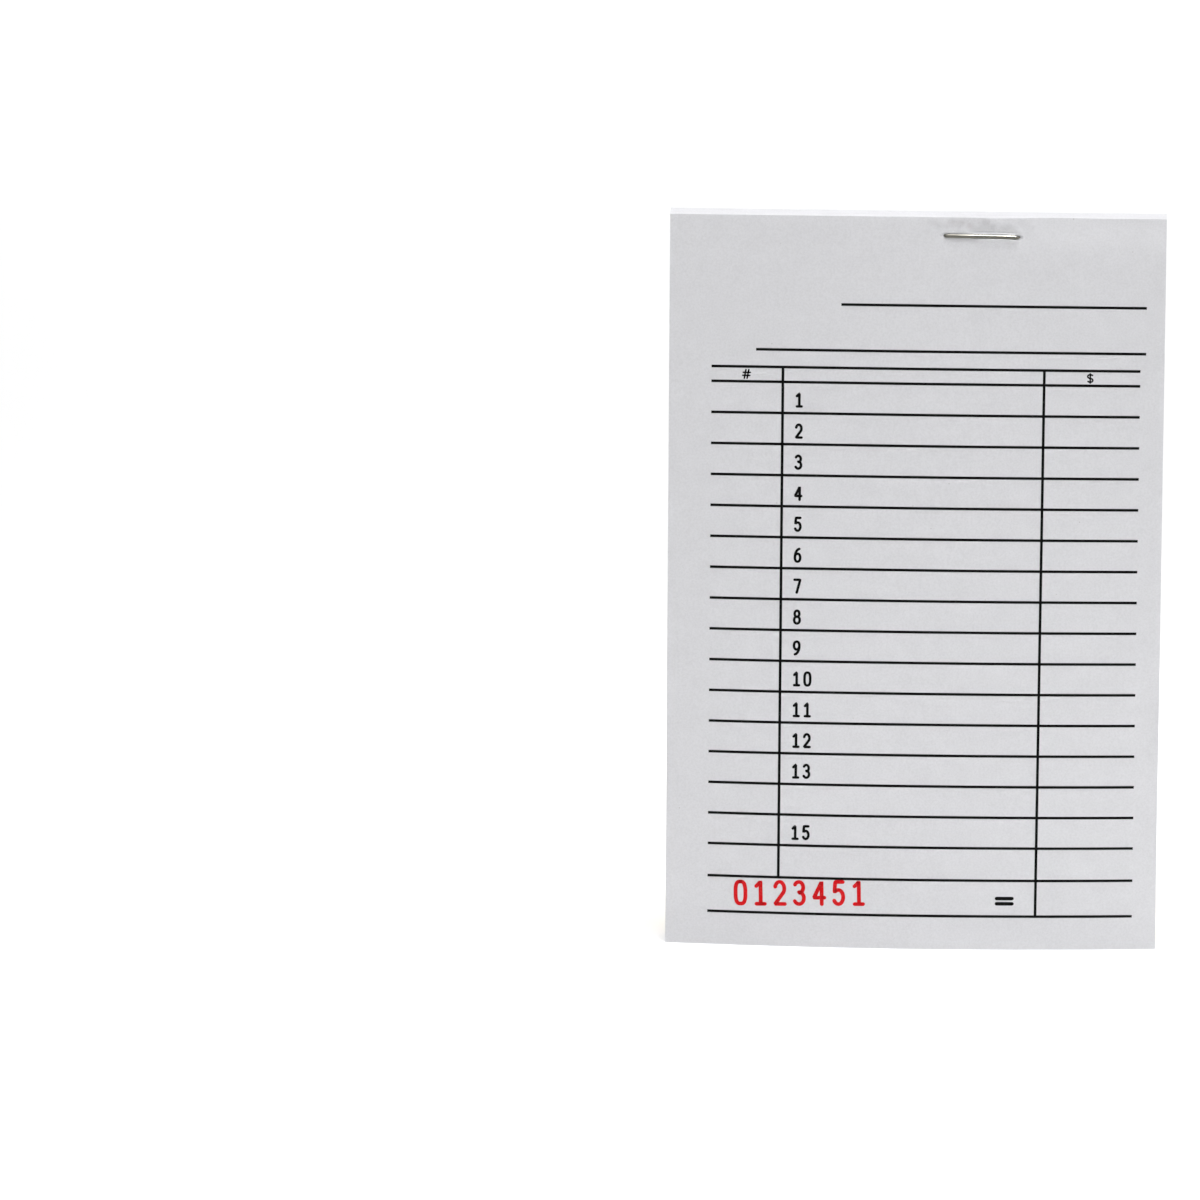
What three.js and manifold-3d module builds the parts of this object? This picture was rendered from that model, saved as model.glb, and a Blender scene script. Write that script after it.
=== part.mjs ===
// Guest check pad: fifty ruled sheets on a stiff card, bound near the top by one wire staple.
// It stands on its lower edge. Millimetres, +Z up, the written side faces -Y.
// The pad is bowed: below the stapled strip its two lower corners lean back from its middle.

import * as THREE from 'three';
import { mergeVertices } from 'three/addons/utils/BufferGeometryUtils.js';
import Module from 'manifold-3d';

// Driving dimensions of the paper
const padWidth = 82.55;
const padHeight = 127;
const sheetCount = 50;
const sheetThickness = 0.09;
const cardThickness = 0.45;
const airGap = 0.004;
const cornerSetback = 2;
const bowColumns = 8;

// The sheets in front that are modelled turning at the crease
const looseSheetCount = 6;
const creaseGap = 0.3;

// Driving dimensions of the staple
const crownLength = 12.9;
const wireHeight = 0.76;
const wireThickness = 0.56;
const wireChamfer = 0.16;
const bendLength = 0.8;
const stapleDrop = 3.2;
const stapleOffset = 10.6;
const creaseBelowWire = 2.7;
const clinchTipGap = 3.4;
const seatGap = 0.02;
const legClearance = 0.3;
const staplePathSteps = 72;

// Heights and depths that follow from them
const sheetPitch = sheetThickness + airGap;
const stackDepth = sheetCount * sheetPitch;
const padDepth = stackDepth + cardThickness;
const stapleZ = padHeight - stapleDrop;
const creaseZ = stapleZ - wireHeight / 2 - creaseBelowWire;
const leafTop = creaseZ - creaseGap;
const staplePlay = seatGap + wireThickness / 2;
const legX = (crownLength - wireThickness) / 2;

// The origin is under the middle of the whole object, crown and leaning corners included
const frontReach = seatGap + wireThickness;
const backReach = padDepth + Math.max(cornerSetback, frontReach);
const frontY = (frontReach - backReach) / 2;

const bond = new THREE.MeshStandardMaterial({ color: 0xdcdde2, roughness: 0.92, metalness: 0 });
const manila = new THREE.MeshStandardMaterial({ color: 0xe9c884, roughness: 0.85, metalness: 0 });
const steel = new THREE.MeshStandardMaterial({ color: 0xb8bcc2, roughness: 0.35, metalness: 1 });

// How far the bowed pad leans back at a point: nothing in the stapled strip above the leaves,
// then more and more down to the two lower corners
function setback(x, z) {
  const across = (2 * x / padWidth) ** 2;
  const below = Math.max(0, (leafTop - z) / leafTop);
  return cornerSetback * across * below;
}

// A board of the pad's width between two depths and two heights, bent to the bow. Its front and
// its back are split along the same diagonals, so boards that lie on each other never cross.
function bentBoard(front, back, low, high) {
  const heights = low < leafTop && high > leafTop ? [low, leafTop, high] : [low, high];
  const rows = heights.length - 1;
  const positions = [];
  for (const face of [front, back]) {
    for (const z of heights) {
      for (let column = 0; column <= bowColumns; column++) {
        const x = padWidth * (column / bowColumns - 0.5);
        positions.push(x, face + setback(x, z), z);
      }
    }
  }
  const at = (side, row, column) => (side * (rows + 1) + row) * (bowColumns + 1) + column;
  const index = [];
  const quad = (a, b, c, d) => index.push(a, b, c, a, c, d);
  for (let row = 0; row < rows; row++) {
    for (let column = 0; column < bowColumns; column++) {
      const corners = [[row, column], [row, column + 1], [row + 1, column + 1], [row + 1, column]];
      const [a, b, c, d] = corners.map((corner) => at(0, ...corner));
      const [e, f, g, h] = corners.map((corner) => at(1, ...corner));
      quad(a, b, c, d);
      quad(e, h, g, f);
      if (row === 0) quad(a, e, f, b);
      if (row === rows - 1) quad(d, c, g, h);
      if (column === 0) quad(a, d, h, e);
      if (column === bowColumns - 1) quad(b, f, g, c);
    }
  }
  const board = new THREE.BufferGeometry();
  board.setAttribute('position', new THREE.Float32BufferAttribute(positions, 3));
  board.setIndex(index);
  return board;
}

// A rectangle with its four corners cut off, for the wire's section and the holes it pierces
function chamferedRectangle(width, height, chamfer) {
  const x = width / 2;
  const y = height / 2;
  return new THREE.Shape([
    new THREE.Vector2(x - chamfer, -y),
    new THREE.Vector2(x, chamfer - y),
    new THREE.Vector2(x, y - chamfer),
    new THREE.Vector2(x - chamfer, y),
    new THREE.Vector2(chamfer - x, y),
    new THREE.Vector2(-x, y - chamfer),
    new THREE.Vector2(-x, chamfer - y),
    new THREE.Vector2(chamfer - x, -y),
  ]);
}

const wasm = await Module();
wasm.setup();

function toSolid(geometry) {
  geometry.deleteAttribute('normal');
  geometry.deleteAttribute('uv');
  const merged = mergeVertices(geometry);
  return new wasm.Manifold(new wasm.Mesh({
    numProp: 3,
    vertProperties: new Float32Array(merged.attributes.position.array),
    triVerts: new Uint32Array(merged.index.array),
  }));
}

function toGeometry(solid) {
  const mesh = solid.getMesh();
  const geometry = new THREE.BufferGeometry();
  geometry.setAttribute('position', new THREE.BufferAttribute(mesh.vertProperties, 3));
  geometry.setIndex(new THREE.BufferAttribute(mesh.triVerts, 1));
  return geometry;
}

// The two rods of space that the staple's legs need, from in front of the pad to behind it
function legSpaces() {
  const width = wireThickness + 2 * legClearance;
  const height = wireHeight + 2 * legClearance;
  const hole = chamferedRectangle(width, height, wireChamfer + legClearance);
  const overrun = 1;
  return [-legX, legX].map((x) => {
    const rod = new THREE.ExtrudeGeometry(hole, { depth: padDepth + 2 * overrun, bevelEnabled: false });
    rod.rotateX(-Math.PI / 2);
    rod.translate(stapleOffset + x, -overrun, stapleZ);
    return toSolid(rod);
  });
}

// A board pierced by both legs of the staple
function piercedBoard(front, back, low, high, spaces) {
  const board = toSolid(bentBoard(front, back, low, high));
  return toGeometry(spaces.reduce((solid, space) => solid.subtract(space), board));
}

// The wire's centre line: a clinched end behind the card, a leg, the crown, a leg, a clinched end,
// with a smooth bend at each of the four corners
function staplePath() {
  const tipX = clinchTipGap / 2;
  const crownY = -staplePlay;
  const clinchY = padDepth + staplePlay;
  const corners = [[-legX, clinchY], [-legX, crownY], [legX, crownY], [legX, clinchY]];
  const stops = [[-tipX, clinchY], ...corners, [tipX, clinchY]]
    .map(([x, y]) => new THREE.Vector3(stapleOffset + x, y, stapleZ));
  const path = new THREE.CurvePath();
  let start = stops[0];
  for (let i = 1; i < stops.length - 1; i++) {
    const corner = stops[i];
    const toBefore = stops[i - 1].clone().sub(corner).setLength(bendLength);
    const toAfter = stops[i + 1].clone().sub(corner).setLength(bendLength);
    const before = corner.clone().add(toBefore);
    const after = corner.clone().add(toAfter);
    path.add(new THREE.LineCurve3(start, before));
    path.add(new THREE.QuadraticBezierCurve3(before, corner, after));
    start = after;
  }
  path.add(new THREE.LineCurve3(start, stops[stops.length - 1]));
  return path;
}

// The staple: one flattened wire, bent twice in front of the pad and clinched twice behind it
function stapleGeometry() {
  const section = chamferedRectangle(wireHeight, wireThickness, wireChamfer);
  return new THREE.ExtrudeGeometry(section, { steps: staplePathSteps, extrudePath: staplePath() });
}

function namedMesh(name, geometry, material) {
  const mesh = new THREE.Mesh(geometry, material);
  mesh.name = name;
  return mesh;
}

function sheetName(number) {
  return `sheet_${String(number).padStart(2, '0')}`;
}

// The sheets, numbered from the front. A loose one is its stapled stub and the leaf below the
// crease, and the others are whole.
function buildSheets(spaces) {
  const sheets = [];
  for (let number = 1; number <= sheetCount; number++) {
    const front = (number - 1) * sheetPitch;
    const back = front + sheetThickness;
    const name = sheetName(number);
    if (number <= looseSheetCount) {
      const stub = piercedBoard(front, back, creaseZ, padHeight, spaces);
      const leaf = bentBoard(front, back, 0, leafTop);
      sheets.push(namedMesh(`${name}_stub`, stub, bond), namedMesh(`${name}_leaf`, leaf, bond));
    } else {
      sheets.push(namedMesh(name, piercedBoard(front, back, 0, padHeight, spaces), bond));
    }
  }
  return sheets;
}

const pad = new THREE.Group();
pad.name = 'guest_check_pad';
pad.position.y = frontY;

const spaces = legSpaces();
pad.add(...buildSheets(spaces));
pad.add(namedMesh('backing_card', piercedBoard(stackDepth, padDepth, 0, padHeight, spaces), manila));
pad.add(namedMesh('staple', stapleGeometry(), steel));

export default pad;
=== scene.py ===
# %% [markdown]
# A pad of guest checks is fifty printed sheets on a stiff card, held near the top by one staple.
# The frame holds its pieces at their real size and says which of them turn at the crease.
# This lesson gives each piece its true surface, its material and its print, all in metres.

# %% Load the frame
import math
import bpy
import numpy as np
from mathutils import Matrix, Vector


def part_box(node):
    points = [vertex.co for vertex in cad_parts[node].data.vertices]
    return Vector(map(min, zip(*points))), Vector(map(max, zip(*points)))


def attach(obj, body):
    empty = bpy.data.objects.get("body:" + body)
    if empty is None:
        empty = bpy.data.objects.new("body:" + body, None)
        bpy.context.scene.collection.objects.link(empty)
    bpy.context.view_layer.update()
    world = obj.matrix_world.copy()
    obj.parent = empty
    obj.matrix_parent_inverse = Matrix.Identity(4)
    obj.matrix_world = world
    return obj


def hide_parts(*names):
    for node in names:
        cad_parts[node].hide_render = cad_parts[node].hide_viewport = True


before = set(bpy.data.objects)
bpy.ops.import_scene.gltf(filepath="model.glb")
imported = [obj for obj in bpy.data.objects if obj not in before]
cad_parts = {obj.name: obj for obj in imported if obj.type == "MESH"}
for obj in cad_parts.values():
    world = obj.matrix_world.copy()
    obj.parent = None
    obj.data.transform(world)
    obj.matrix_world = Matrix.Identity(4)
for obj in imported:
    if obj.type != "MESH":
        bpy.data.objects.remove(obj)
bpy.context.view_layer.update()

MM = 0.001

# %% [markdown]
# The measures could be typed in again, but then they would part from the solids when one changes.
# They are read from the frame, so the finished sheets stay where its sheets are. Depth is counted
# from the face of the front sheet, at its flat stapled strip, to the card's back.

# %% Read the pad's measures
stub_low, stub_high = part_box("sheet_01_stub")
leaf_low, leaf_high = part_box("sheet_01_leaf")
card_low, card_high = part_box("backing_card")
staple_low, staple_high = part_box("staple")

WIDTH = stub_high.x - stub_low.x
HEIGHT = stub_high.z
FRONT = stub_low.y
CREASE = stub_low.z
LEAF_TOP = leaf_high.z
SHEET = stub_high.y - stub_low.y
SETBACK = leaf_high.y - leaf_low.y - SHEET
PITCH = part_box("sheet_08")[0].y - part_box("sheet_07")[0].y
SHEETS = len({name[:8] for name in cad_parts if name.startswith("sheet_")})
LOOSE = sum(name.endswith("_leaf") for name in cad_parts)
CARD_FRONT = card_low.y - FRONT
DEPTH = card_high.y - SETBACK - FRONT
STAPLE_X = (staple_low.x + staple_high.x) / 2
STAPLE_Z = (staple_low.z + staple_high.z) / 2
CROWN = staple_high.x - staple_low.x
print(f"{SHEETS} sheets, {WIDTH / MM:.2f} x {HEIGHT / MM:.2f} mm, pitch {PITCH / MM:.3f} mm")
print(f"pad {DEPTH / MM:.2f} mm deep, corners {SETBACK / MM:.2f} mm back, crease at {CREASE / MM:.2f} mm")

# %% [markdown]
# A stapled pad is not a flat brick. It bows, because the paper takes a curl across its width
# that the staple holds flat at the top. The staple squeezes the bound edge, so the stack is
# thinner there than at its free foot, and the wire sinks a little into the front. A modifier
# could bend each sheet by itself, but then neighbours would cross. One function of place and
# depth that shapes every sheet keeps them nested.

# %% The surface that every sheet follows
BOUND_SHARE = 0.912
BOUND_REACH = 26 * MM
BOUND_RAMP = 0.7 * BOUND_REACH
WIRE_DROP, END_DROOP = 0.025 * MM, 0.09 * MM
DROOP_START, DROOP_LENGTH = STAPLE_X + 3 * MM, 3.4 * MM
WIRE_TILT = math.radians(-0.4)
RIPPLE, RIPPLE_FADE = 0.03 * MM, 30 * MM


def smooth(t):
    """An S-shaped ramp: t squared times (3 - 2 t), held at 0 and 1 outside them."""
    t = np.clip(t, 0.0, 1.0)
    return t * t * (3.0 - 2.0 * t)


def ramp(t, start, length):
    """The same ramp, from 0 at a start to 1 a length further on."""
    return smooth((t - start) / length)


def hill(t, centre, half, fade):
    """1 within half of the centre, and a smooth fall to 0 over the fade beyond it."""
    return 1.0 - smooth((np.abs(t - centre) - half) / fade)


def wire_z(x):
    """The height of the wire's centre line, a little askew, with a right end that droops."""
    droop = END_DROOP * ramp(x, DROOP_START, DROOP_LENGTH)
    return STAPLE_Z - WIRE_DROP + math.tan(WIRE_TILT) * (x - STAPLE_X) - droop


def setback(x, z):
    """The bow: (2x / width) squared, times the share of the way down from the leaf's top."""
    return SETBACK * (2.0 * x / WIDTH) ** 2 * np.clip((LEAF_TOP - z) / LEAF_TOP, 0.0, 1.0)


def ripple(x, z):
    """A product of two sines and a slanting sine, 4 to 14 cm long, which fade out at the strip."""
    wave = np.sin(x / (11 * MM) + 0.7) * np.sin(z / (19 * MM) - 0.4)
    wave = wave + 0.6 * np.sin(x / (6.5 * MM) + z / (23 * MM))
    return RIPPLE * wave * smooth((LEAF_TOP - z) / RIPPLE_FADE)


def bound_depth(z, depth):
    """A depth as the staple leaves it: its bound share at the top, and all of it well below."""
    return depth * (1.0 - (1.0 - BOUND_SHARE) * ramp(z, HEIGHT - BOUND_REACH, BOUND_RAMP))


print("the bound edge is", round(float(bound_depth(HEIGHT, DEPTH)) / MM, 2), "mm thick")

# %% [markdown]
# The crown lies in a bed that it has pressed for itself. The paper is raised in a lip above and
# below its right half, and drawn in round each leg. Such forms could be sculpted by hand. They
# are formulas here, because the sheets behind and the ink have to follow them too. Along the
# wire, heights are counted in millimetres from its centre line.

# %% The paper round the wire
LIP_ABOVE, LIP_BELOW, LIP_FOLD = 0.09 * MM, 0.36 * MM, 0.07 * MM
ABOVE_RISE, ABOVE_FALL = (0.26, 0.16), (0.44, 0.26)
BELOW_RISE, BELOW_FADE = (0.19, 0.26), (0.43, 0.65)
FOLD_PLACE, FOLD_WIDTH = 0.73, 0.1
ABOVE_SPAN = (STAPLE_X + 1.9 * MM, 2.6 * MM, 1.8 * MM)
BELOW_LEFT, BELOW_RIGHT = (STAPLE_X - 1.6 * MM, 1.3 * MM), (STAPLE_X + 5.7 * MM, 0.7 * MM)
BELOW_FOOT = 1.5 * MM
BED, BED_HALF, BED_FADE = 0.2 * MM, 0.12 * MM, 0.32 * MM
BED_SPAN = (STAPLE_X, CROWN / 2 - 0.2 * MM, 0.8 * MM)
DIMPLE, DIMPLE_REACH, DIMPLE_X = 0.1 * MM, 0.5 * MM, CROWN / 2 - 0.25 * MM


def lips(x, z):
    """Each lip rises along an S beside the wire. The upper one falls along an S to a bell-shaped
    fold, and the lower one fades exponentially and ends at the crease."""
    up = (z - wire_z(x)) / MM
    above = LIP_ABOVE * ramp(up, *ABOVE_RISE) * (1.0 - ramp(up, *ABOVE_FALL))
    fold = LIP_FOLD * np.exp(-((up - FOLD_PLACE) / FOLD_WIDTH) ** 2)
    fading = np.exp(-np.clip(-up - BELOW_FADE[0], 0.0, None) / BELOW_FADE[1])
    below = LIP_BELOW * ramp(-up, *BELOW_RISE) * fading * ramp(z, CREASE, BELOW_FOOT)
    below_span = ramp(x, *BELOW_LEFT) * (1.0 - ramp(x, *BELOW_RIGHT))
    return hill(x, *ABOVE_SPAN) * (above - fold) + below_span * below


def bed(x, z):
    """The groove under the crown: a hill along its length times a narrow one across it."""
    return BED * hill(x, *BED_SPAN) * hill(z, wire_z(x), BED_HALF, BED_FADE)


def dimples(x, z):
    """A bell-shaped dent where each leg goes in."""
    near = [np.hypot(x - STAPLE_X - side * DIMPLE_X, z - wire_z(x)) for side in (-1, 1)]
    return DIMPLE * sum(np.exp(-(r / DIMPLE_REACH) ** 2) for r in near)


print("bed", BED / MM, "mm deep, lower lip", LIP_BELOW / MM, "mm high")

# %% [markdown]
# More traces of the binding run through the first few sheets. Fine creases stand between the
# crown and the edge, the edge bulges forwards over the crown, and the blade has rolled it. The
# head's clamp left a faint flat field, and the corner to the right of the crown eases back.

# %% The rest of the front's relief
CREASING = 0.028 * MM
CREASING_SPAN = (STAPLE_X - 1 * MM, 7.5 * MM, 4 * MM)
CREASING_BAND = (STAPLE_Z + 2 * MM, 0.7 * MM, 1 * MM)
BULGE, BULGE_SPAN = 0.3 * MM, (STAPLE_X + 1.9 * MM, 0.5 * MM, 4.2 * MM)
BULGE_BAND = (HEIGHT, 0.8 * MM, 1.5 * MM)
EASE, EASE_SPAN = 0.5 * MM, (STAPLE_X + 4.5 * MM, 8 * MM)
ROLL, ROLL_REACH = 0.05 * MM, 0.45 * MM
CLAMP, CLAMP_EDGE = 0.02 * MM, 0.3 * MM
CLAMP_LEFT, CLAMP_RIGHT, CLAMP_LOW = -6.5 * MM, 21.1 * MM, 122.2 * MM
FRONT_FADE = 1.3 * MM


def creases(x, z):
    """Fine upright creases between the crown and the edge, from three sines of unlike lengths."""
    u, v = x / MM, z / MM
    wave = np.sin(2.1 * u + 0.9 * v) + np.sin(3.4 * u - 1.7 * v + 1.0)
    wave = wave + 0.8 * np.sin(1.3 * u + 2.3 * v + 2.0)
    return CREASING * wave * hill(x, *CREASING_SPAN) * hill(z, *CREASING_BAND)


def front_relief(x, z):
    """The sum of all that lies back, less all that rises. Positive is backwards."""
    clamp = hill(x, (CLAMP_LEFT + CLAMP_RIGHT) / 2, (CLAMP_RIGHT - CLAMP_LEFT) / 2, CLAMP_EDGE)
    clamp = CLAMP * clamp * ramp(z, CLAMP_LOW, CLAMP_EDGE)
    corner = EASE * ramp(x, *EASE_SPAN) * ramp(z, CREASE, HEIGHT - CREASE)
    rolled = ROLL * np.exp(-np.clip(HEIGHT - z, 0.0, None) / ROLL_REACH)
    bulge = BULGE * hill(x, *BULGE_SPAN) * hill(z, *BULGE_BAND)
    return clamp + corner + rolled + bed(x, z) + dimples(x, z) - bulge - lips(x, z) - creases(x, z)


print("the front's relief fades to a third", FRONT_FADE / MM, "mm behind the face")

# %% [markdown]
# The surface of any sheet is the sum of these. The staple also squeezes the whole stack towards
# its middle depth, round the crown in front and its clinched ends behind.

# %% Put the surface together
SQUEEZE = 0.07 * MM
GRIP_SPAN = (STAPLE_X, CROWN / 2 - 1 * MM, 5 * MM)
GRIP_HALF, GRIP_FADE = 0.3 * MM, 2.6 * MM


def surface_y(x, z, depth):
    """Bound depth, bow and ripple, less the squeeze towards mid depth, plus the front's relief."""
    grip = hill(x, *GRIP_SPAN) * hill(z, wire_z(x), GRIP_HALF, GRIP_FADE)
    y = FRONT + bound_depth(z, depth) + setback(x, z) + ripple(x, z)
    y = y + SQUEEZE * grip * (1.0 - 2.0 * depth / DEPTH)
    return y + front_relief(x, z) * np.exp(-depth / FRONT_FADE)


under_crown = float(surface_y(STAPLE_X, wire_z(STAPLE_X), 0.0) - FRONT)
print("under the crown the face lies", round(under_crown / MM, 3), "mm back")

# %% [markdown]
# Paper, card and ink are all thin closed boards: a front face, a back face and a rim between
# their outlines. A plane with a Solidify modifier would give the same, but its two faces could
# not follow two different depths. numpy holds each face as one array of points, rows up and
# columns to the right, and the faces' corners are worked out from the grid's own numbering.


# %% From arrays of points to closed boards
def grid_faces(rows, columns, start, flip):
    """The four-cornered faces of a grid of points, numbered row by row from start."""
    a = (np.arange(rows - 1)[:, None] * columns + np.arange(columns - 1)[None, :]).ravel() + start
    quads = np.stack([a, a + 1, a + columns + 1, a + columns], axis=1)
    return quads[:, ::-1] if flip else quads


def outline(rows, columns):
    """The numbers of a grid's border points, once round: bottom, right, top, left."""
    number = np.arange(rows * columns).reshape(rows, columns)
    return np.concatenate([number[0], number[1:, -1], number[-1, -2::-1], number[-2:0:-1, 0]])


def board_arrays(front, back, start=0):
    """Points and faces of one closed board between two grids of the same shape."""
    rows, columns = front.shape[:2]
    count = rows * columns
    loop = outline(rows, columns) + start
    following = np.roll(loop, -1)
    rim = np.stack([loop, loop + count, following + count, following], axis=1)
    faces = [grid_faces(rows, columns, start, False), grid_faces(rows, columns, start + count, True), rim]
    return np.concatenate([front.reshape(-1, 3), back.reshape(-1, 3)]), np.concatenate(faces)


def mesh_object(name, points, faces, sharp=35.0):
    """A mesh object at the origin, smooth except where faces meet at more than the sharp angle."""
    mesh = bpy.data.meshes.new(name)
    mesh.from_pydata(points.tolist(), [], list(faces))
    mesh.shade_smooth()
    mesh.set_sharp_from_angle(angle=math.radians(sharp))
    thing = bpy.data.objects.new(name, mesh)
    bpy.context.scene.collection.objects.link(thing)
    return thing


def boards_object(name, boards):
    """One mesh object that holds several closed boards, each a pair of front and back grids."""
    points, faces, start = [], [], 0
    for front, back in boards:
        p, f = board_arrays(front, back, start)
        points.append(p)
        faces.append(f)
        start += len(p)
    return mesh_object(name, np.concatenate(points), np.concatenate(faces).tolist())


print("a grid of 3 by 4 points has", len(outline(3, 4)), "points on its border")

# %% [markdown]
# Every colour is written as the sRGB value that a screen shows, and one function turns it into
# the linear value that a shader works with. One more adds a node with its settings and links,
# which keeps a material as short to read as a recipe.

# %% Colours and nodes
# A Mix node of colours takes them on its sockets 6 and 7 and gives the result on output 2.
FIRST, SECOND, MIXED = 6, 7, 2


def linear(code):
    """sRGB hex to linear: c / 12.92 near black, ((c + 0.055) / 1.055) to the power 2.4 above."""
    c = np.array([int(code[i:i + 2], 16) for i in (1, 3, 5)]) / 255.0
    c = np.where(c <= 0.04045, c / 12.92, ((c + 0.055) / 1.055) ** 2.4)
    return (*c.tolist(), 1.0)


def node(tree, kind, inputs, **properties):
    """Adds a shader node, sets its properties, and gives each named input a value or a link."""
    made = tree.nodes.new("ShaderNode" + kind)
    for key, value in properties.items():
        setattr(made, key, value)
    for key, value in inputs.items():
        if isinstance(value, bpy.types.NodeSocket):
            tree.links.new(value, made.inputs[key])
        else:
            made.inputs[key].default_value = value
    return made


def new_material(name, colour, roughness, metallic=0.0, specular=0.5):
    """A material whose Principled shader has these constants on its own sockets."""
    material = bpy.data.materials.new(name)
    material.use_nodes = True
    shader = material.node_tree.nodes["Principled BSDF"]
    shader.inputs["Base Color"].default_value = linear(colour)
    shader.inputs["Roughness"].default_value = roughness
    shader.inputs["Metallic"].default_value = metallic
    shader.inputs["Specular IOR Level"].default_value = specular
    return material, material.node_tree, shader


print("half grey is", round(linear("#808080")[0], 3), "in linear light")

# %% [markdown]
# The sheets are uncoated wood-free bond, sold as white writing paper. Up close it is not one
# white: the fibres lie in clouds a few millimetres wide, which paper makers call formation, and
# here and there a darker speck of bark is left. Above the crown it is painted darker in patches,
# as painted shade of the creased paper there.
# It has no gloss, so the roughness is high, and the fibres, some 30 microns wide, raise a fine
# nap. Real fibres are too fine to show at this size, so the nap is drawn about three times
# coarser. A scan of paper would do too, but noise stays sharp however near the camera comes.

# %% Bond paper
# Painted shade above the crown: the centre of its oval and its half sizes.
SHADE_X, SHADE_Z = 9.5 * MM, 126 * MM
SHADE_HALF_X, SHADE_HALF_Z = 10 * MM, 1.2 * MM


def bond_paper():
    """Clouds, flecks and specks, one over the other, then the painted shade above the crown, and the nap as a
    bump.
    """
    material, tree, shader = new_material("uncoated_bond_paper", "#E4E4E7", 0.9, specular=0.25)
    place = node(tree, "TexCoord", {}).outputs["Object"]
    clouds = node(tree, "TexNoise",
                  {"Vector": place, "Scale": 1 / (3.2 * MM), "Detail": 4.0, "Roughness": 0.62})
    cloudy = node(tree, "MapRange", {"Value": clouds.outputs[0], "From Min": 0.3, "From Max": 0.72})
    tones = {"Factor": cloudy.outputs[0], FIRST: linear("#E2E2E5"), SECOND: linear("#E6E6E9")}
    tone = node(tree, "Mix", tones, data_type="RGBA").outputs[MIXED]
    grain = node(tree, "TexNoise",
                 {"Vector": place, "Scale": 1 / (0.35 * MM), "Detail": 3.0, "Roughness": 0.7})
    grained = node(tree, "MapRange",
                   {"Value": grain.outputs[0], "From Min": 0.6, "From Max": 0.34, "To Max": 0.1})
    flecks = {"Factor": grained.outputs[0], FIRST: tone, SECOND: linear("#8E8C8A")}
    flecked = node(tree, "Mix", flecks, data_type="RGBA").outputs[MIXED]
    cells = node(tree, "TexVoronoi", {"Vector": place, "Scale": 1 / (4.2 * MM)})
    barked = node(tree, "MapRange",
                  {"Value": cells.outputs[0], "From Min": 0.034, "From Max": 0.018, "To Max": 0.3})
    specks = {"Factor": barked.outputs[0], FIRST: flecked, SECOND: linear("#7A6F62")}
    unshaded_paper = node(tree, "Mix", specks, data_type="RGBA").outputs[MIXED]
    # Painted shade: the paper is darker in patches in an oval over the creases above the crown.
    around = {"Vector": place, "Location": (-SHADE_X / SHADE_HALF_X, 0.0, -SHADE_Z / SHADE_HALF_Z),
              "Scale": (1 / SHADE_HALF_X, 0.0, 1 / SHADE_HALF_Z)}
    centred = node(tree, "Mapping", around).outputs[0]
    oval = node(tree, "TexGradient", {"Vector": centred}, gradient_type="SPHERICAL")
    patch_noise = node(tree, "TexNoise",
                 {"Vector": place, "Scale": 1 / (2.1 * MM), "Detail": 3.0, "Roughness": 0.6})
    patchy = node(tree, "MapRange",
                  {"Value": patch_noise.outputs[0], "From Min": 0.42, "From Max": 0.66, "To Max": 0.42})
    painted_shade = node(tree, "Math", {0: oval.outputs[1], 1: patchy.outputs[0]}, operation="MULTIPLY")
    shade_mix = {"Factor": painted_shade.outputs[0], FIRST: unshaded_paper, SECOND: linear("#A9A4A6")}
    shaded_paper = node(tree, "Mix", shade_mix, data_type="RGBA").outputs[MIXED]
    tree.links.new(shaded_paper, shader.inputs["Base Color"])
    nap = node(tree, "TexNoise",
               {"Vector": place, "Scale": 1 / (0.1 * MM), "Detail": 3.0, "Roughness": 0.6})
    bump = node(tree, "Bump", {"Height": nap.outputs[0], "Strength": 0.35, "Distance": 0.02 * MM})
    tree.links.new(bump.outputs[0], shader.inputs["Normal"])
    return material


PAPER = bond_paper()
print("made", PAPER.name)

# %% [markdown]
# The backing is manila board: unbleached fibre dyed buff, pressed but not coated. It shows long
# fibres and small brown flecks, and it is matt. The fibres lie along the board's grain, so their
# noise is drawn out sideways, by scaling the coordinates before the noise reads them.


# %% Manila board
def manila_board():
    """Two buffs in clouds, brown flecks on the fibres, and the fibres themselves as a bump."""
    material, tree, shader = new_material("buff_manila_board", "#F2D596", 0.82, specular=0.3)
    place = node(tree, "TexCoord", {}).outputs["Object"]
    clouds = node(tree, "TexNoise",
                  {"Vector": place, "Scale": 1 / (2.6 * MM), "Detail": 5.0, "Roughness": 0.65})
    cloudy = node(tree, "MapRange", {"Value": clouds.outputs[0], "From Min": 0.28, "From Max": 0.74})
    tones = {"Factor": cloudy.outputs[0], FIRST: linear("#ECC981"), SECOND: linear("#F8DFA6")}
    tone = node(tree, "Mix", tones, data_type="RGBA").outputs[MIXED]
    grain = node(tree, "Mapping", {"Vector": place, "Scale": (0.35, 1.0, 1.0)}).outputs[0]
    fibre = node(tree, "TexNoise",
                 {"Vector": grain, "Scale": 1 / (0.5 * MM), "Detail": 4.0, "Roughness": 0.7})
    browned = node(tree, "MapRange",
                   {"Value": fibre.outputs[0], "From Min": 0.4, "From Max": 0.3, "To Max": 0.4})
    flecks = {"Factor": browned.outputs[0], FIRST: tone, SECOND: linear("#A87A3C")}
    flecked = node(tree, "Mix", flecks, data_type="RGBA").outputs[MIXED]
    tree.links.new(flecked, shader.inputs["Base Color"])
    bump = node(tree, "Bump", {"Height": fibre.outputs[0], "Strength": 0.4, "Distance": 0.03 * MM})
    tree.links.new(bump.outputs[0], shader.inputs["Normal"])
    return material


BOARD = manila_board()
print("made", BOARD.name)

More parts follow.
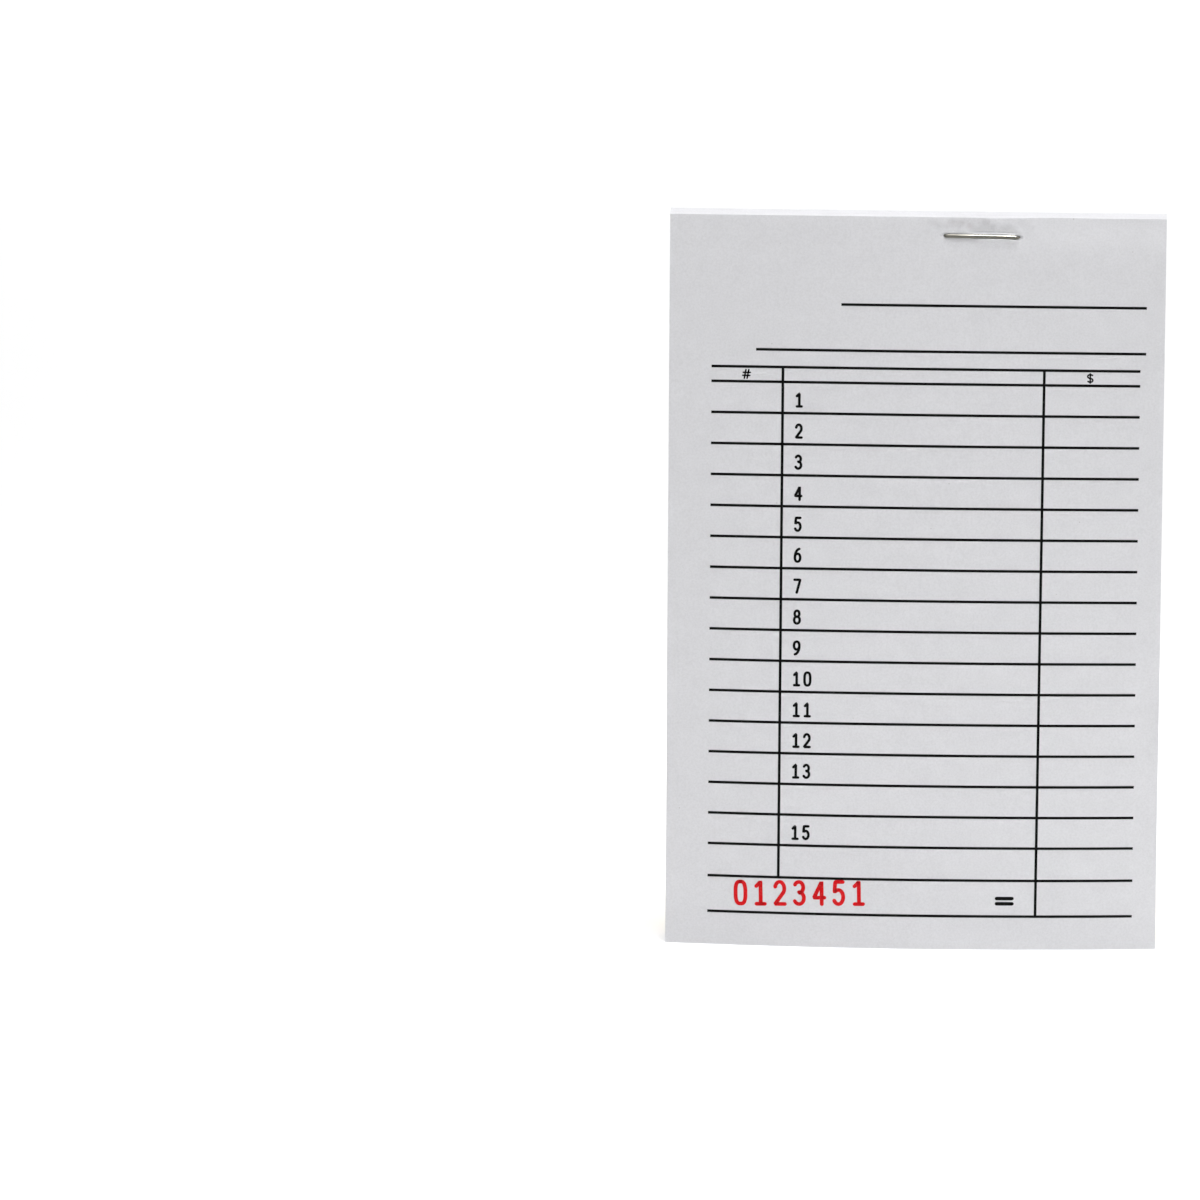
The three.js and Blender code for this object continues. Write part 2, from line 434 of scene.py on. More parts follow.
# %% [markdown]
# A sheet is cut by a guillotine with the whole pad, so its edges are square and nearly flush,
# and differ by a hundredth of a millimetre or so, which draws the fine lines on the pad's sides.
# The grid of a sheet is finest where the staple shapes it and where it can be seen.

# %% Grids for the sheets
random = np.random.default_rng(11)
TRIM = 0.012 * MM
nudges = random.normal(0.0, TRIM, (SHEETS + 1, 2))


def marks(low, high, spacing, fine_low, fine_high, fine):
    """Even marks from low to high, with finer ones between two places where there is detail."""
    coarse = np.linspace(low, high, max(2, round((high - low) / spacing) + 1))
    detail = np.linspace(fine_low, fine_high, round((fine_high - fine_low) / fine) + 1)
    outside = coarse[(coarse < fine_low - fine / 2) | (coarse > fine_high + fine / 2)]
    return np.unique(np.concatenate([outside, detail]))


def board_between(xs, zs, depth, thickness, number):
    """The front and back grids of a board at a depth, with its own small shift from the trim."""
    x, z = np.meshgrid(xs, zs)
    shift = nudges[number, 0]
    lift = nudges[number, 1] * (z >= HEIGHT - TRIM)
    depths = (depth, depth + thickness)
    return [np.stack([x + shift, surface_y(x + shift, z, d), z + lift], axis=-1) for d in depths]


EDGE = WIDTH / 2
FINE_X = (STAPLE_X - 12 * MM, STAPLE_X + 12 * MM)
FINE_Z = (STAPLE_Z - 1.4 * MM, STAPLE_Z + 1 * MM)
front_xs = marks(-EDGE, EDGE, 1.2 * MM, *FINE_X, 0.2 * MM)
inner_xs = marks(-EDGE, EDGE, 2.4 * MM, *FINE_X, 1.0 * MM)
strip_columns = marks(-EDGE, EDGE, 0.3 * MM, *FINE_X, 0.16 * MM)
strip_rows = marks(CREASE, HEIGHT, 0.1 * MM, *FINE_Z, 0.06 * MM)
under_columns = marks(-EDGE, EDGE, 1.2 * MM, *FINE_X, 0.3 * MM)
under_rows = marks(CREASE, HEIGHT, 0.3 * MM, *FINE_Z, 0.1 * MM)
print(len(strip_columns), "x", len(strip_rows), "points on the front strip,", len(inner_xs), "columns inside")

# %% [markdown]
# A loose sheet is one sheet of paper that folds. It is made as two pieces, a bound strip on the
# pad's body and a leaf on a body of its own, because a rigid piece can't fold. The leaf stops two
# microns short of the crease, so it never rubs its strip. The other sheets are one piece each.

# %% Make the sheets
CREASE_PLAY = 0.002 * MM
LEAF_ROWS, FIRST_WHOLE_ROWS, WHOLE_ROWS, BOUND_ROWS, INNER_STRIP_ROWS = 82, 80, 30, 15, 22

strip_grids = [(strip_columns, strip_rows)] + 3 * [(under_columns, under_rows)]
strip_grids += (LOOSE - 4) * [(inner_xs, np.linspace(CREASE, HEIGHT, INNER_STRIP_ROWS))]


def add_piece(thing, material, body, nodes_replaced):
    """Gives a piece its material, the body that it moves with and the nodes that it stands for."""
    thing.data.materials.append(material)
    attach(thing, body)
    if nodes_replaced:
        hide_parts(*nodes_replaced)


for number in range(1, SHEETS + 1):
    depth = (number - 1) * PITCH
    name = f"sheet_{number:02d}"
    if number <= LOOSE:
        xs = front_xs if number == 1 else inner_xs
        strip_xs, strip_zs = strip_grids[number - 1]
        leaf_zs = np.linspace(0.0, CREASE - CREASE_PLAY, LEAF_ROWS)
        strip_board = board_between(strip_xs, strip_zs, depth, SHEET, number)
        leaf_board = board_between(xs, leaf_zs, depth, SHEET, number)
        strip = boards_object(f"{name}_bound_strip", [strip_board])
        leaf = boards_object(f"{name}_face", [leaf_board])
        add_piece(strip, PAPER, "pad", [f"{name}_stub"])
        add_piece(leaf, PAPER, f"leaf_{number:02d}", [f"{name}_leaf"])
    else:
        rows = FIRST_WHOLE_ROWS if number == LOOSE + 1 else WHOLE_ROWS
        zs = [np.linspace(0.0, CREASE, rows), np.linspace(CREASE, HEIGHT, BOUND_ROWS)[1:]]
        board = board_between(inner_xs, np.concatenate(zs), depth, SHEET, number)
        whole = boards_object(f"{name}_whole", [board])
        add_piece(whole, PAPER, "pad", [name])

# %% [markdown]
# The backing card is the same cut of board behind the last sheet. The blade presses its hard
# edge down by a hair, so from in front the sheets hide it. Where the staple's ends are clinched
# it is dented from behind, which the shared surface already gives.

# %% Make the backing card
CARD_SHORT = 0.1 * MM
CARD_ROWS, CARD_BOUND_ROWS = 60, 32
card_low_zs = np.linspace(0.0, CREASE, CARD_ROWS)
card_high_zs = np.linspace(CREASE, HEIGHT - CARD_SHORT, CARD_BOUND_ROWS)[1:]
card_zs = np.concatenate([card_low_zs, card_high_zs])
card_board = board_between(front_xs, card_zs, CARD_FRONT, DEPTH - CARD_FRONT, SHEETS)
card = boards_object("backing_card_board", [card_board])
add_piece(card, BOARD, "pad", ["backing_card"])
print("made the card,", len(card.data.polygons), "faces")

# %% [markdown]
# The staple is drawn steel wire, zinc coated. The head that forms it flattens the crown, so the
# crown is wider than the legs. One section is carried along one path: a clinched end, a bend, a
# leg, a bend, the crown, and the same again. A tube along a Bezier curve would twist its flats;
# a section placed by formula keeps them square to the crown, and narrows where the bend begins.

# %% The wire's path
WIRE_DEPTH = 0.5 * MM
WIRE_PROUD = 0.2 * MM
BEND = 0.62 * MM
CLINCH_TIP = 1.7 * MM
ARC_STEP, RING_STEP = 0.06 * MM, 0.1 * MM


def rounded_path(corners, radius, step):
    """Straight runs joined by quarter circles of one radius, as points about one step apart."""
    parts = [corners[:1]]
    for before, corner, after in zip(corners[:-2], corners[1:-1], corners[2:]):
        into = (corner - before) / np.linalg.norm(corner - before)
        out = (after - corner) / np.linalg.norm(after - corner)
        angle = np.linspace(0.0, math.pi / 2, max(6, round(radius * math.pi / 2 / step)))[:, None]
        centre = corner - radius * into + radius * out
        parts.append(centre - radius * out * np.cos(angle) + radius * into * np.sin(angle))
    parts.append(corners[-1:])
    return np.concatenate(parts)


def even_steps(path, step):
    """The same path in points an even step apart, by its running length."""
    length = np.concatenate([[0.0], np.cumsum(np.linalg.norm(np.diff(path, axis=0), axis=1))])
    wanted = np.linspace(0.0, length[-1], round(length[-1] / step) + 1)
    return np.stack([np.interp(wanted, length, path[:, k]) for k in range(path.shape[1])], axis=1)


crown_y = FRONT - WIRE_PROUD + WIRE_DEPTH / 2
clinch_y = FRONT + DEPTH * BOUND_SHARE - SQUEEZE + WIRE_DEPTH / 2
leg = (CROWN - WIRE_DEPTH) / 2
corners = np.array([[-CLINCH_TIP, clinch_y], [-leg, clinch_y], [-leg, crown_y],
                    [leg, crown_y], [leg, clinch_y], [CLINCH_TIP, clinch_y]])
path = even_steps(rounded_path(corners, BEND, ARC_STEP), RING_STEP)
wire_length = float(np.linalg.norm(np.diff(path, axis=0), axis=1).sum())
print("wire", round(wire_length / MM, 1), "mm long,", len(path), "rings")

# %% [markdown]
# At each point of the path stands a ring of 28 points, a flattened oval. Powers of its sine and
# cosine under 1 make it squarer and over 1 more pointed, which gives a flat below and a bevel
# above. The ring tapers over the last three steps to each cut end.

# %% The wire's section, carried along it
CROWN_HEIGHT, LEG_HEIGHT = 0.64 * MM, 0.46 * MM
BEVEL_POWER, FLAT_POWER = 1.15, 0.8
FLATTENED = (0.0, leg - 0.75 * MM, 0.9 * MM)
RIGHT_NARROWING, RIGHT_SPAN = 0.35, (leg - 0.7 * MM, 0.5 * MM)
TIP_SHARE, TIP_STEPS = 0.62, 3


def swept_wire(path, sides=28):
    """Rings square to the path, the section's depth across it and its height upright."""
    tangent = np.gradient(path, axis=0)
    tangent /= np.linalg.norm(tangent, axis=1, keepdims=True)
    across = np.stack([-tangent[:, 1], tangent[:, 0]], axis=1)
    angle = np.linspace(0.0, 2 * math.pi, sides, endpoint=False)
    power = np.where(np.sin(angle) > 0, BEVEL_POWER, FLAT_POWER)
    u = WIRE_DEPTH / 2 * np.sign(np.cos(angle)) * np.abs(np.cos(angle)) ** power
    v = np.sign(np.sin(angle)) * np.abs(np.sin(angle)) ** power
    flattened = hill(path[:, 0], *FLATTENED) * (path[:, 1] < FRONT + DEPTH / 2)
    height = LEG_HEIGHT + (CROWN_HEIGHT - LEG_HEIGHT) * flattened
    height = height * (1.0 - RIGHT_NARROWING * ramp(path[:, 0], *RIGHT_SPAN))
    along = np.arange(len(path))
    to_end = np.minimum(np.minimum(along, along[::-1]) / TIP_STEPS, 1)
    taper = TIP_SHARE + (1 - TIP_SHARE) * np.sqrt(1 - (1 - to_end) ** 2)
    plane = path[:, None, :] + across[:, None, :] * (taper[:, None] * u)[:, :, None]
    x = STAPLE_X + plane[..., 0]
    z = wire_z(x) + (taper * height / 2)[:, None] * v
    rings = np.stack([x, plane[..., 1], z], axis=-1)
    ring, side = np.arange(len(path) - 1)[:, None] * sides, np.arange(sides)[None, :]
    following = (side + 1) % sides
    faces = [ring + side, ring + following, ring + sides + following, ring + sides + side]
    last = len(path) * sides - sides
    caps = [list(range(sides))[::-1], list(range(last, last + sides))]
    return rings.reshape(-1, 3), np.stack(faces, axis=-1).reshape(-1, 4).tolist() + caps


staple = mesh_object("wire_staple", *swept_wire(path), sharp=50.0)
print("made the staple,", len(staple.data.polygons), "faces")

# %% [markdown]
# Zinc-coated steel is a clear grey metal with a soft shine. Its underside is painted darker, as
# painted shade and a painted dark reflection, and its bends are painted darker, as painted shade
# where they go into the paper. Its left end is duller and darker than its right. Two metals could
# be laid on by hand. Here ramps over place say how dark and dull each spot is, and one mix follows
# them. Drawing leaves fine lines along the wire.

# %% Zinc-coated steel wire
UNDERSIDE_FROM, UNDERSIDE_TO = 0.1 * MM, 0.02 * MM
LEFT_FROM, LEFT_TO, LEFT_SHARE = STAPLE_X + 0.2 * MM, STAPLE_X - 4.2 * MM, 0.8
BEND_FROM, BEND_TO = CROWN / 2 - 0.9 * MM, CROWN / 2 - 0.3 * MM


def zinc_wire():
    """The largest of the painted shade and reflection below, the dull left end and the painted shade at the
    bends sets the tone and the roughness.
    """
    material, tree, shader = new_material("zinc_coated_steel_wire", "#C9CACC", 0.25, metallic=1.0)
    place = node(tree, "TexCoord", {}).outputs["Object"]
    axes = node(tree, "SeparateXYZ", {"Vector": place}).outputs
    level = (-math.tan(WIRE_TILT), 0.0, 1.0)
    height = node(tree, "VectorMath", {0: place, 1: level}, operation="DOT_PRODUCT").outputs["Value"]
    middle = wire_z(0.0)
    # Painted shade and dark reflection: the wire is darker from just above its middle line down.
    below = {"Value": height, "From Min": middle + UNDERSIDE_FROM, "From Max": middle + UNDERSIDE_TO}
    under = node(tree, "MapRange", below, interpolation_type="SMOOTHSTEP")
    leftwards = {"Value": axes[0], "From Min": LEFT_FROM, "From Max": LEFT_TO, "To Max": LEFT_SHARE}
    left = node(tree, "MapRange", leftwards, interpolation_type="SMOOTHSTEP")
    # Painted shade: the bends, where the wire goes into the paper, are darker.
    sideways = node(tree, "Math", {0: axes[0], 1: STAPLE_X}, operation="SUBTRACT")
    outwards = node(tree, "Math", {0: sideways.outputs[0]}, operation="ABSOLUTE")
    bends = {"Value": outwards.outputs[0], "From Min": BEND_FROM, "From Max": BEND_TO}
    bent = node(tree, "MapRange", bends, interpolation_type="SMOOTHSTEP")
    dark_and_dull = node(tree, "Math", {0: under.outputs[0], 1: left.outputs[0]}, operation="MAXIMUM")
    dark_and_dull = node(tree, "Math", {0: dark_and_dull.outputs[0], 1: bent.outputs[0]}, operation="MAXIMUM").outputs[0]
    # The light tone is the metal's own, and the dark one carries the painted shade and reflection.
    tones = {"Factor": dark_and_dull, FIRST: linear("#DCD9CF"), SECOND: linear("#7C7A72")}
    tone = node(tree, "Mix", tones, data_type="RGBA").outputs[MIXED]
    tree.links.new(tone, shader.inputs["Base Color"])
    rough = node(tree, "MapRange", {"Value": dark_and_dull, "To Min": 0.22, "To Max": 0.5})
    tree.links.new(rough.outputs[0], shader.inputs["Roughness"])
    drawn = node(tree, "Mapping", {"Vector": place, "Scale": (0.08, 1.0, 1.0)}).outputs[0]
    lines = node(tree, "TexNoise", {"Vector": drawn, "Scale": 1 / (0.07 * MM), "Detail": 3.0})
    bump = node(tree, "Bump", {"Height": lines.outputs[0], "Strength": 0.3, "Distance": 0.01 * MM})
    tree.links.new(bump.outputs[0], shader.inputs["Normal"])
    return material


ZINC = zinc_wire()
add_piece(staple, ZINC, "pad", ["staple"])
print("made", ZINC.name)

# %% [markdown]
# The form is printed in one black with thin offset ink, and the numbering machine adds a red
# number on each sheet in turn. The rules and columns are the usual ones of such a form. All its
# measures stand here together, because a printer sets a form out on one plate.

# %% The form's measures
RULE = 0.457 * MM
TABLE_LEFT, TABLE_RIGHT = -34.2 * MM, 37.3 * MM
TABLE_TOP, HEADER_FOOT = 100.9 * MM, 98.34 * MM
ROW, ROWS = 5.372 * MM, 15
LAST_ROW, TOTAL_ROW = 5.67 * MM, 6.27 * MM
COUNT_COLUMN, PRICE_COLUMN_TOP, PRICE_COLUMN_FOOT = -22.28 * MM, 21.3 * MM, 21.01 * MM
LINES_RIGHT = 38.2 * MM
UPPER_LINE = (-12.65 * MM, 111.81 * MM)
LOWER_LINE = (-26.8 * MM, 103.9 * MM)

row_feet = HEADER_FOOT - ROW * np.arange(1, ROWS + 1)
ITEMS_FOOT = row_feet[-1] - LAST_ROW
TABLE_FOOT = ITEMS_FOOT - TOTAL_ROW
print("rows end at", round(ITEMS_FOOT / MM, 2), "and the table at", round(TABLE_FOOT / MM, 2), "mm")

# %% [markdown]
# Ink is a film on the paper. It could be an image on the sheet's material, but a picture blurs
# when the camera comes near, and its edges would need a UV map. So each mark is a board a
# hundredth of a millimetre thick that follows the same surface as its sheet.

# %% A film of ink on a sheet
INK_LOW, INK_HIGH = 0.003 * MM, 0.012 * MM


def film(edge_low, edge_high, depth):
    """The grids of a thin film between two edges, each an array of (x, z) points along the mark."""
    edges = np.stack([edge_low, edge_high])
    x, z = edges[..., 0], edges[..., 1]
    y = surface_y(x, z, depth)
    return [np.stack([x, y - rise, z], axis=-1) for rise in (INK_HIGH, INK_LOW)]


def rule(start, end, depth, width=RULE, step=1.0 * MM):
    """A straight printed line, as a film between its two long edges."""
    start, end = np.array(start), np.array(end)
    t = np.linspace(0.0, 1.0, max(2, round(float(np.linalg.norm(end - start)) / step) + 1))[:, None]
    line = start + (end - start) * t
    along = (end - start) / np.linalg.norm(end - start)
    side = np.array([-along[1], along[0]]) * width / 2
    return film(line - side, line + side, depth)


def form_rules(depth):
    """Every line of the form: the table's rows and its two columns, and the two writing lines."""
    levels = [TABLE_TOP, HEADER_FOOT, *row_feet, ITEMS_FOOT, TABLE_FOOT]
    rows = [((TABLE_LEFT, z), (TABLE_RIGHT, z)) for z in levels]
    columns = [((COUNT_COLUMN, ITEMS_FOOT), (COUNT_COLUMN, TABLE_TOP))]
    columns += [((PRICE_COLUMN_FOOT, TABLE_FOOT), (PRICE_COLUMN_TOP, TABLE_TOP))]
    lines = [(start, (LINES_RIGHT, start[1])) for start in (UPPER_LINE, LOWER_LINE)]
    return [rule(start, end, depth) for start, end in rows + columns + lines]


print("the form has", len(form_rules(0.0)), "printed lines")

# %% [markdown]
# A number could be a text object, but a font's letters lie flat. Here each is drawn as its
# strokes, arcs and straight lines in a box one unit wide and one high, which are scaled to the
# size of the print and laid on the sheet.


# %% The strokes of the numerals
def arc(cx, cz, rx, rz, start, end, square=2.0, points=26):
    """An arc from one angle to another in degrees. A power over 2 makes the oval squarer."""
    a = np.radians(np.linspace(start, end, points))
    c, s = np.cos(a), np.sin(a)
    x = cx + rx * np.sign(c) * np.abs(c) ** (2 / square)
    z = cz + rz * np.sign(s) * np.abs(s) ** (2 / square)
    return np.stack([x, z], axis=1)


def strokes_of(*lines):
    """Joins the points and arcs of each line into one array of points."""
    return [np.concatenate([np.atleast_2d(np.array(part, float)) for part in line]) for line in lines]


NUMERALS = {
    "0": strokes_of([arc(0.5, 0.5, 0.45, 0.5, 90, 450, 2.9, 44)]),
    "1": strokes_of([(0.16, 0.8), (0.55, 1.0), (0.55, 0.0)], [(0.16, 0.0), (0.92, 0.0)]),
    "2": strokes_of([arc(0.5, 0.7, 0.42, 0.3, 165, -38), (0.07, 0.0), (0.95, 0.0)]),
    "3": strokes_of([arc(0.46, 0.75, 0.4, 0.25, 150, -80)], [arc(0.46, 0.27, 0.45, 0.27, 88, -150)]),
    "4": strokes_of([(0.74, 0.0), (0.74, 1.0), (0.04, 0.29), (0.98, 0.29)]),
    "5": strokes_of([(0.88, 1.0), (0.2, 1.0), (0.12, 0.55), arc(0.47, 0.32, 0.44, 0.32, 128, -150)]),
    "6": strokes_of([arc(0.5, 0.31, 0.42, 0.31, 0, 360, 2.2, 36)], [arc(0.86, 0.32, 0.78, 0.68, 180, 97)]),
    "7": strokes_of([(0.06, 1.0), (0.96, 1.0), (0.42, 0.0)]),
    "8": strokes_of([arc(0.5, 0.76, 0.36, 0.24, 0, 360, 2.1, 36)],
                    [arc(0.5, 0.27, 0.44, 0.27, 0, 360, 2.1, 36)]),
    "9": strokes_of([arc(0.5, 0.69, 0.42, 0.31, 0, 360, 2.2, 36)], [arc(0.14, 0.68, 0.78, 0.68, 0, -83)]),
    "#": strokes_of([(0.2, 0.0), (0.42, 1.0)], [(0.58, 0.0), (0.8, 1.0)],
                    [(0.0, 0.33), (0.94, 0.33)], [(0.06, 0.68), (1.0, 0.68)]),
    "$": strokes_of([arc(0.5, 0.71, 0.42, 0.2, 35, 262), arc(0.5, 0.29, 0.42, 0.2, 82, -145)],
                    [(0.5, 0.0), (0.5, 1.0)]),
    "=": strokes_of([(0.0, 0.3), (1.0, 0.3)], [(0.0, 0.72), (1.0, 0.72)]),
}
print(len(NUMERALS), "characters drawn from", sum(len(s) for s in NUMERALS.values()), "strokes")

# %% [markdown]
# Each stroke becomes a ribbon of ink with round ends, whose half width at a distance d into the
# end cap is the root of its radius squared less d squared. Three steps are enough for an end
# that is a quarter of a millimetre wide.

# %% Ribbons with round ends
CAP_ANGLES = (6.0, 30.0, 60.0)
STROKE_STEP = 0.12 * MM


def ribbon(line, radius, depth):
    """A stroke as a film: offset both ways by the half width, which closes in a half circle."""
    tangent = np.gradient(line, axis=0)
    tangent /= np.linalg.norm(tangent, axis=1, keepdims=True)
    turn, caps = np.radians(np.array(CAP_ANGLES))[:, None], len(CAP_ANGLES)
    first = line[0] - radius * np.cos(turn) * tangent[0]
    last = line[-1] + radius * np.cos(turn[::-1]) * tangent[-1]
    line = np.concatenate([first, line, last])
    before, after = np.repeat(tangent[:1], caps, axis=0), np.repeat(tangent[-1:], caps, axis=0)
    tangent = np.concatenate([before, tangent, after])
    width = np.full(len(line), radius)
    width[:caps] = radius * np.sin(turn[:, 0])
    width[-caps:] = radius * np.sin(turn[::-1, 0])
    side = np.stack([-tangent[:, 1], tangent[:, 0]], axis=1) * width[:, None]
    return film(line - side, line + side, depth)


def printed(text, left, foot, width, height, advance, weight, depth, tilt=0.0):
    """A row of characters as ribbons, each in its own cell, the whole row turned by a small tilt."""
    turn = np.array([[math.cos(tilt), math.sin(tilt)], [-math.sin(tilt), math.cos(tilt)]])
    ribbons = []
    for place, character in enumerate(text):
        for stroke in NUMERALS[character]:
            cell = weight / 2 + stroke * (np.array([width, height]) - weight)
            line = even_steps(cell, STROKE_STEP) + np.array([place * advance, 0.0])
            ribbons.append(ribbon(np.array([left, foot]) + line @ turn, weight / 2, depth))
    return ribbons


print("a zero is", len(printed("0", 0, 0, 2.5 * MM, 4.5 * MM, 0, 0.5 * MM, 0)[0][0][0]), "points long")

# %% [markdown]
# Plain numbers count the rows of the table. The column of counts gets a number sign, the column
# of prices a dollar sign, and the row of the total a bold equals sign. The red number runs on
# from sheet to sheet, and sits a little askew, as a stamped number does.

# %% What is printed where
NUMBER_LEFT, NUMBER_FOOT = -20.3 * MM, 0.95 * MM
NUMBER_WIDTH, NUMBER_HEIGHT, NUMBER_ADVANCE = 1.5 * MM, 2.67 * MM, 1.85 * MM
NUMBER_WEIGHT = 0.44 * MM
BLANK_ROWS = (14, 16)
# Each sign has its left edge, foot, width, height and weight.
SIGNS = {
    "#": (-29.1 * MM, HEADER_FOOT + 0.4 * MM, 1.5 * MM, 1.75 * MM, 0.27 * MM),
    "$": (28.3 * MM, HEADER_FOOT + 0.35 * MM, 1.3 * MM, 1.85 * MM, 0.27 * MM),
    "=": (14.2 * MM, 7.1 * MM, 3.2 * MM, 2.8 * MM, 0.62 * MM),
}
SERIAL_LEFT, SERIAL_FOOT, SERIAL_TILT = -29.82 * MM, 6.9 * MM, math.radians(1.3)
SERIAL_WIDTH, SERIAL_HEIGHT, SERIAL_ADVANCE = 2.5 * MM, 4.55 * MM, 3.31 * MM
SERIAL_WEIGHT = 0.66 * MM
SERIAL_BASE = 123450


def black_print(depth):
    """The form's lines, the numbers of its rows, and its three signs."""
    made = form_rules(depth)
    for row, row_foot in enumerate(np.append(row_feet, ITEMS_FOOT), start=1):
        if row not in BLANK_ROWS:
            made += printed(str(row), NUMBER_LEFT, row_foot + NUMBER_FOOT, NUMBER_WIDTH, NUMBER_HEIGHT,
                            NUMBER_ADVANCE, NUMBER_WEIGHT, depth)
    for sign, (left, foot, width, height, weight) in SIGNS.items():
        made += printed(sign, left, foot, width, height, 0.0, weight, depth)
    return made


def red_print(number, depth):
    """The running number of one sheet, seven figures long."""
    return printed(f"{SERIAL_BASE + number:07d}", SERIAL_LEFT, SERIAL_FOOT, SERIAL_WIDTH, SERIAL_HEIGHT,
                   SERIAL_ADVANCE, SERIAL_WEIGHT, depth, SERIAL_TILT)


print(len(black_print(0.0)), "black marks and", len(red_print(1, 0.0)), "red strokes on a sheet")

# %% [markdown]
# Offset black dries to a matt, very dark grey and takes a little of the paper's grain. The
# numbering ink is a warm red, thinner where the figures press less. Both are one recipe: a full
# tone, and a thin tone where a fine noise is high.


# %% The two inks
def printing_ink(name, colour, thin, roughness):
    """Mixes the full tone with the thin one by noise of a quarter of a millimetre."""
    material, tree, shader = new_material(name, colour, roughness, specular=0.1)
    place = node(tree, "TexCoord", {}).outputs["Object"]
    grain = node(tree, "TexNoise",
                 {"Vector": place, "Scale": 1 / (0.25 * MM), "Detail": 3.0, "Roughness": 0.65})
    worn = node(tree, "MapRange", {"Value": grain.outputs[0], "From Min": 0.5, "From Max": 0.75})
    tones = {"Factor": worn.outputs[0], FIRST: linear(colour), SECOND: linear(thin)}
    tone = node(tree, "Mix", tones, data_type="RGBA").outputs[MIXED]
    tree.links.new(tone, shader.inputs["Base Color"])
    return material


BLACK = printing_ink("black_offset_ink", "#040404", "#20211E", 0.6)
RED = printing_ink("red_numbering_ink", "#D90E18", "#DA4440", 0.6)
print("made", BLACK.name, "and", RED.name)

# %% [markdown]
# Every sheet of a pad is printed, but only those that can be bared need their ink here: the
# loose ones and the first whole one behind them. The ink rides the same body as its leaf, so it
# turns with it.

# %% Print the sheets that can be seen
for number in range(1, LOOSE + 2):
    depth = (number - 1) * PITCH
    body = f"leaf_{number:02d}" if number <= LOOSE else "pad"
    form = boards_object(f"form_{number:02d}", black_print(depth))
    serial = boards_object(f"serial_{number:02d}", red_print(number, depth))
    add_piece(form, BLACK, body, [])
    add_piece(serial, RED, body, [])
print("printed", LOOSE + 1, "sheets")

# %% [markdown]
# The pad stands on a plain pale table, so large that its edge is never in the picture.

# %% The table and the room
TABLE_SIZE = 6.0
table_corners = np.array([[-1, -1, 0], [1, -1, 0], [1, 1, 0], [-1, 1, 0]]) * TABLE_SIZE
table_mesh = bpy.data.meshes.new("table_top")
table_mesh.from_pydata(table_corners.tolist(), [], [[0, 1, 2, 3]])
table = bpy.data.objects.new("table_top", table_mesh)
bpy.context.scene.collection.objects.link(table)
table_material, _, _ = new_material("matt_white_table", "#FAFAFA", 0.95, specular=0.0)
table_mesh.materials.append(table_material)

world = bpy.data.worlds.new("pale_room")
bpy.context.scene.world = world
world.use_nodes = True
world.node_tree.nodes["Background"].inputs[0].default_value = linear("#FFFFFF")
world.node_tree.nodes["Background"].inputs[1].default_value = 0.06
bpy.context.scene.view_settings.view_transform = "Standard"
print("table", 2 * TABLE_SIZE, "m wide")

# %% [markdown]
# A product photograph is lit by large soft boxes, and its table reads as pure white. A lamp
# behind and one in front, both overhead, light the table and the tops of the sheets, and one at
# the right gives the upright face its soft slope of light. Narrow lamps fill the table behind
# the pad, which would be grey, and pool light on the table in front, which lifts the foot of
# the face. One lamp more or less changes every tone, so each power was set from its own share.


# %% The light
def softbox(name, place, target, width, height, power, spread=180):
    """A rectangular area lamp that faces a point, its light held within a spread in degrees."""
    lamp = bpy.data.lights.new(name, "AREA")
    lamp.shape, lamp.size, lamp.size_y, lamp.energy = "RECTANGLE", width, height, power
    lamp.spread = math.radians(spread)
    thing = bpy.data.objects.new(name, lamp)
    bpy.context.scene.collection.objects.link(thing)
    aim = Vector(target) - Vector(place)
    thing.matrix_world = Matrix.Translation(place) @ aim.to_track_quat("-Z", "Y").to_matrix().to_4x4()


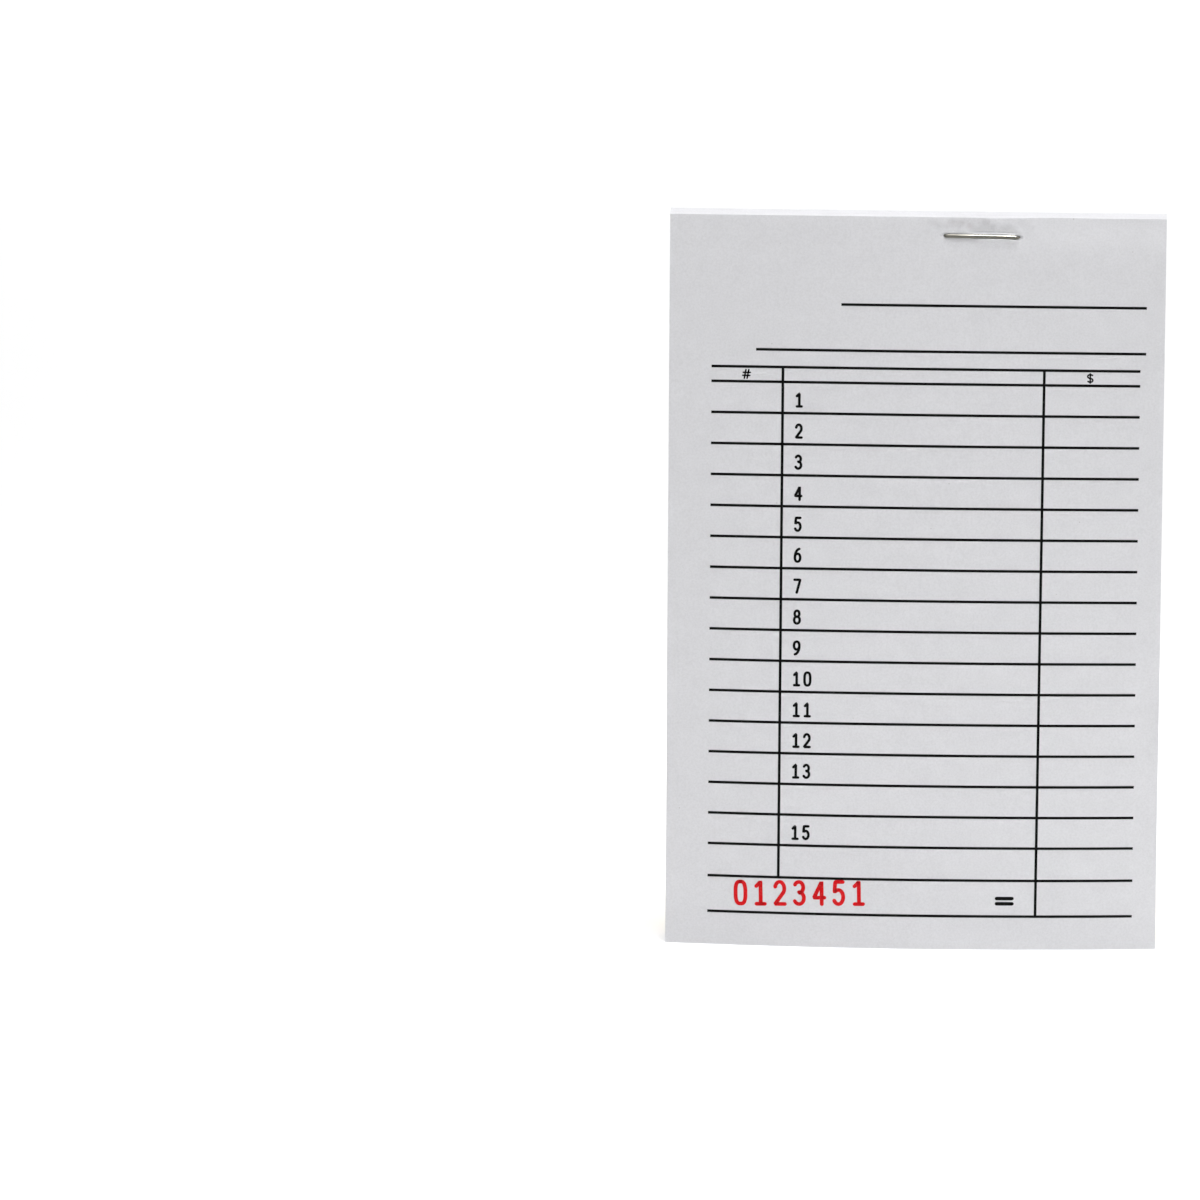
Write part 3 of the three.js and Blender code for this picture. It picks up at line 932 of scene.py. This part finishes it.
softbox("behind_overhead", (0.0, 0.7, 1.2), (0.0, 0.7, 0.0), 1.4, 0.8, 7.9)
softbox("front_overhead", (0.0, -0.25, 1.0), (0.0, -0.1, 0.0), 0.8, 0.4, 9.0)
softbox("right", (1.4, -0.5, 0.6), (0.0, 0.0, 0.06), 0.8, 0.8, 7.1)
softbox("far_floor", (0.0, 0.9, 0.8), (0.0, 0.9, 0.0), 1.6, 0.6, 1.5, spread=80)
softbox("near_floor", (0.0, 0.08, 0.25), (0.0, 0.08, 0.0), 0.5, 0.1, 0.12, spread=40)
softbox("front_pool", (0.02, -0.09, 0.3), (0.02, -0.09, 0.0), 0.2, 0.11, 0.02, spread=30)
softbox("foot_pool", (0.02, -0.05, 0.3), (0.02, -0.05, 0.0), 0.2, 0.04, 0.023, spread=15)
print("made", len(bpy.data.lights), "lamps")

# %% [markdown]
# The camera stands 2.5 m away with a long lens, as for a product photograph, and looks down at
# 15 degrees. Its place, its angles and its focal length, here in pixels of the picture, were
# solved from the corners of the pad.

# %% The camera
FRAME_PIXELS = 1200
FOCAL_PIXELS = 15071.5
SENSOR = 36.0
FAR_CLIP = 50
CAMERA_PLACE = Vector((0.01666, -2.43301 + FRONT, 0.7304))
AZIMUTH, ELEVATION, TURN = (math.radians(a) for a in (-1.6297, 15.3947, 0.3515))

camera_data = bpy.data.cameras.new("camera")
camera_data.sensor_width = SENSOR
camera_data.lens = FOCAL_PIXELS * SENSOR / FRAME_PIXELS
camera_data.clip_end = FAR_CLIP
camera = bpy.data.objects.new("camera", camera_data)
bpy.context.scene.collection.objects.link(camera)
level_x, level_y = math.sin(AZIMUTH) * math.cos(ELEVATION), math.cos(AZIMUTH) * math.cos(ELEVATION)
forward = Vector((level_x, level_y, -math.sin(ELEVATION)))
turned = forward.to_track_quat("-Z", "Y").to_matrix().to_4x4() @ Matrix.Rotation(TURN, 4, "Z")
camera.matrix_world = Matrix.Translation(CAMERA_PLACE) @ turned
bpy.context.scene.camera = camera
print("camera lens", round(camera_data.lens, 1), "mm")

# %% [markdown]
# The last step brings every piece's place up to date.

# %% Finish
bpy.context.view_layer.update()
